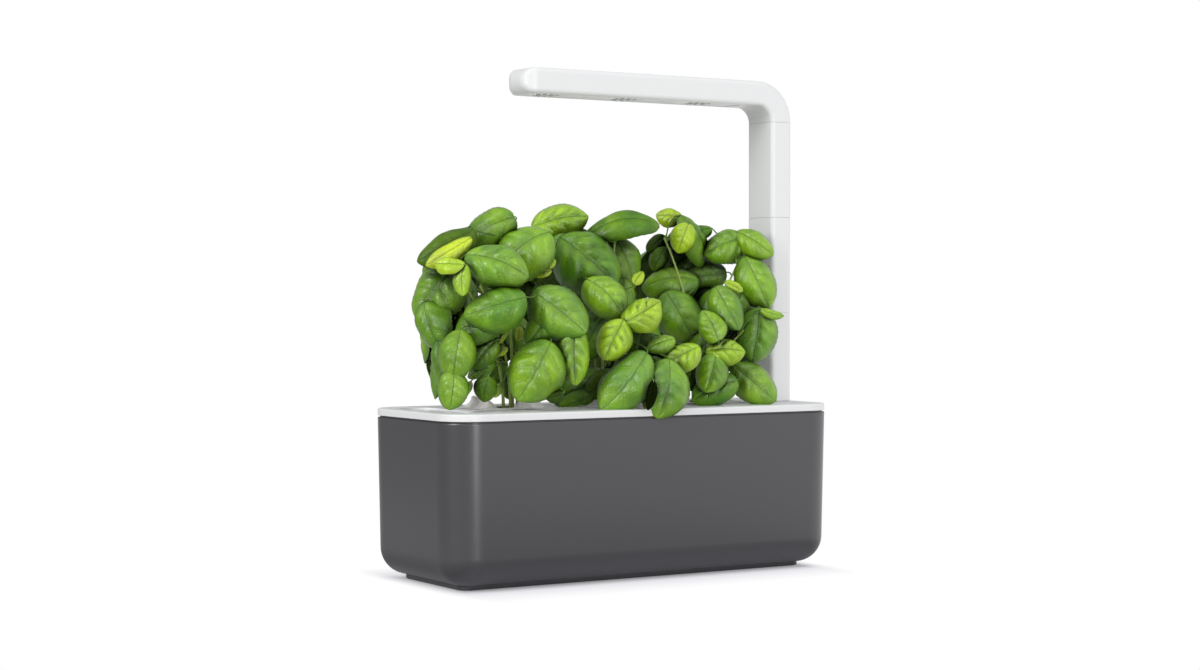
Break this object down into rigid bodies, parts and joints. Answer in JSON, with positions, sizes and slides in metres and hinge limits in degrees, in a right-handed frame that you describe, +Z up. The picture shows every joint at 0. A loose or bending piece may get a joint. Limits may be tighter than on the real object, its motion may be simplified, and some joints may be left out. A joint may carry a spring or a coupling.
{
  "type": "countertop hydroponic garden",
  "caption": "Planter tank with a lid that carries planted pods and a water float, under a lamp on stacked arms that bends over the plants.",
  "frame": {"origin": "on the table, at the middle of the object's base", "axes": "+X along the planter towards the lamp column, +Y towards the back, +Z up"},
  "size_m": [0.3, 0.1442, 0.3361],
  "materials": {
    "tank_plastic": "satin",
    "white_plastic": "satin",
    "inner_plastic": "matte",
    "black_plastic": "matte",
    "pad_rubber": "matte",
    "float_foam": "matte",
    "soil": "matte",
    "wick": "matte",
    "label_paper": "matte",
    "leaf": "satin",
    "steel": "satin",
    "brass": "satin",
    "board_metal": "satin",
    "lens": "gloss"
  },
  "bodies": {
    "planter": {"planter_tank": "tank_plastic", "rubber_pad_1": "pad_rubber", "rubber_pad_2": "pad_rubber", "rubber_pad_3": "pad_rubber", "rubber_pad_4": "pad_rubber"},
    "lid_body": {"lid": "white_plastic", "float_guide": "inner_plastic", "lamp_bracket": "inner_plastic", "bracket_screw_1": "steel", "bracket_screw_2": "steel", "lamp_foot": "white_plastic", "foot_socket": "black_plastic", "foot_strip": "brass", "power_inlet": "black_plastic"},
    "float_body": {"water_float": "float_foam"},
    "pod_1": {"pod_1_cup": "white_plastic", "pod_1_soil": "soil", "pod_1_wick": "wick", "pod_1_label": "label_paper", "pod_1_basil": "leaf"},
    "pod_2": {"pod_2_cup": "white_plastic", "pod_2_soil": "soil", "pod_2_wick": "wick", "pod_2_label": "label_paper", "pod_2_basil": "leaf"},
    "pod_3": {"pod_3_cup": "white_plastic", "pod_3_soil": "soil", "pod_3_wick": "wick", "pod_3_label": "label_paper", "pod_3_basil": "leaf"},
    "lamp_arm_1": {"arm_1_shell": "white_plastic", "arm_1_connector": "black_plastic", "arm_1_strip": "brass"},
    "lamp_arm_2": {"arm_2_shell": "white_plastic", "arm_2_connector": "black_plastic", "arm_2_strip": "brass"},
    "lamp_head": {"head_shell": "white_plastic", "head_connector": "black_plastic", "head_strip": "brass", "led_board": "board_metal", "led_driver": "black_plastic", "lamp_cover": "white_plastic", "led_lens_1": "lens", "led_lens_2": "lens", "led_lens_3": "lens", "cover_screw_1": "steel", "cover_screw_2": "steel"}
  },
  "joints": [
    {"name": "lid_lift", "type": "slide", "parent": "planter", "child": "lid_body", "axis": [0, 0, 1], "range_m": [0, 0.11]},
    {"name": "float_rise", "type": "slide", "parent": "lid_body", "child": "float_body", "axis": [0, 0, 1], "range_m": [0, 0.007]},
    {"name": "pod_1_lift", "type": "slide", "parent": "lid_body", "child": "pod_1", "axis": [0, 0, 1], "range_m": [0, 0.06]},
    {"name": "pod_2_lift", "type": "slide", "parent": "lid_body", "child": "pod_2", "axis": [0, 0, 1], "range_m": [0, 0.06]},
    {"name": "pod_3_lift", "type": "slide", "parent": "lid_body", "child": "pod_3", "axis": [0, 0, 1], "range_m": [0, 0.06]},
    {"name": "arm_1_lift", "type": "slide", "parent": "lid_body", "child": "lamp_arm_1", "axis": [0, 0, 1], "range_m": [0, 0.012]},
    {"name": "arm_2_lift", "type": "slide", "parent": "lamp_arm_1", "child": "lamp_arm_2", "axis": [0, 0, 1], "range_m": [0, 0.012]},
    {"name": "head_lift", "type": "slide", "parent": "lamp_arm_2", "child": "lamp_head", "axis": [0, 0, 1], "range_m": [0, 0.012]}
  ]
}
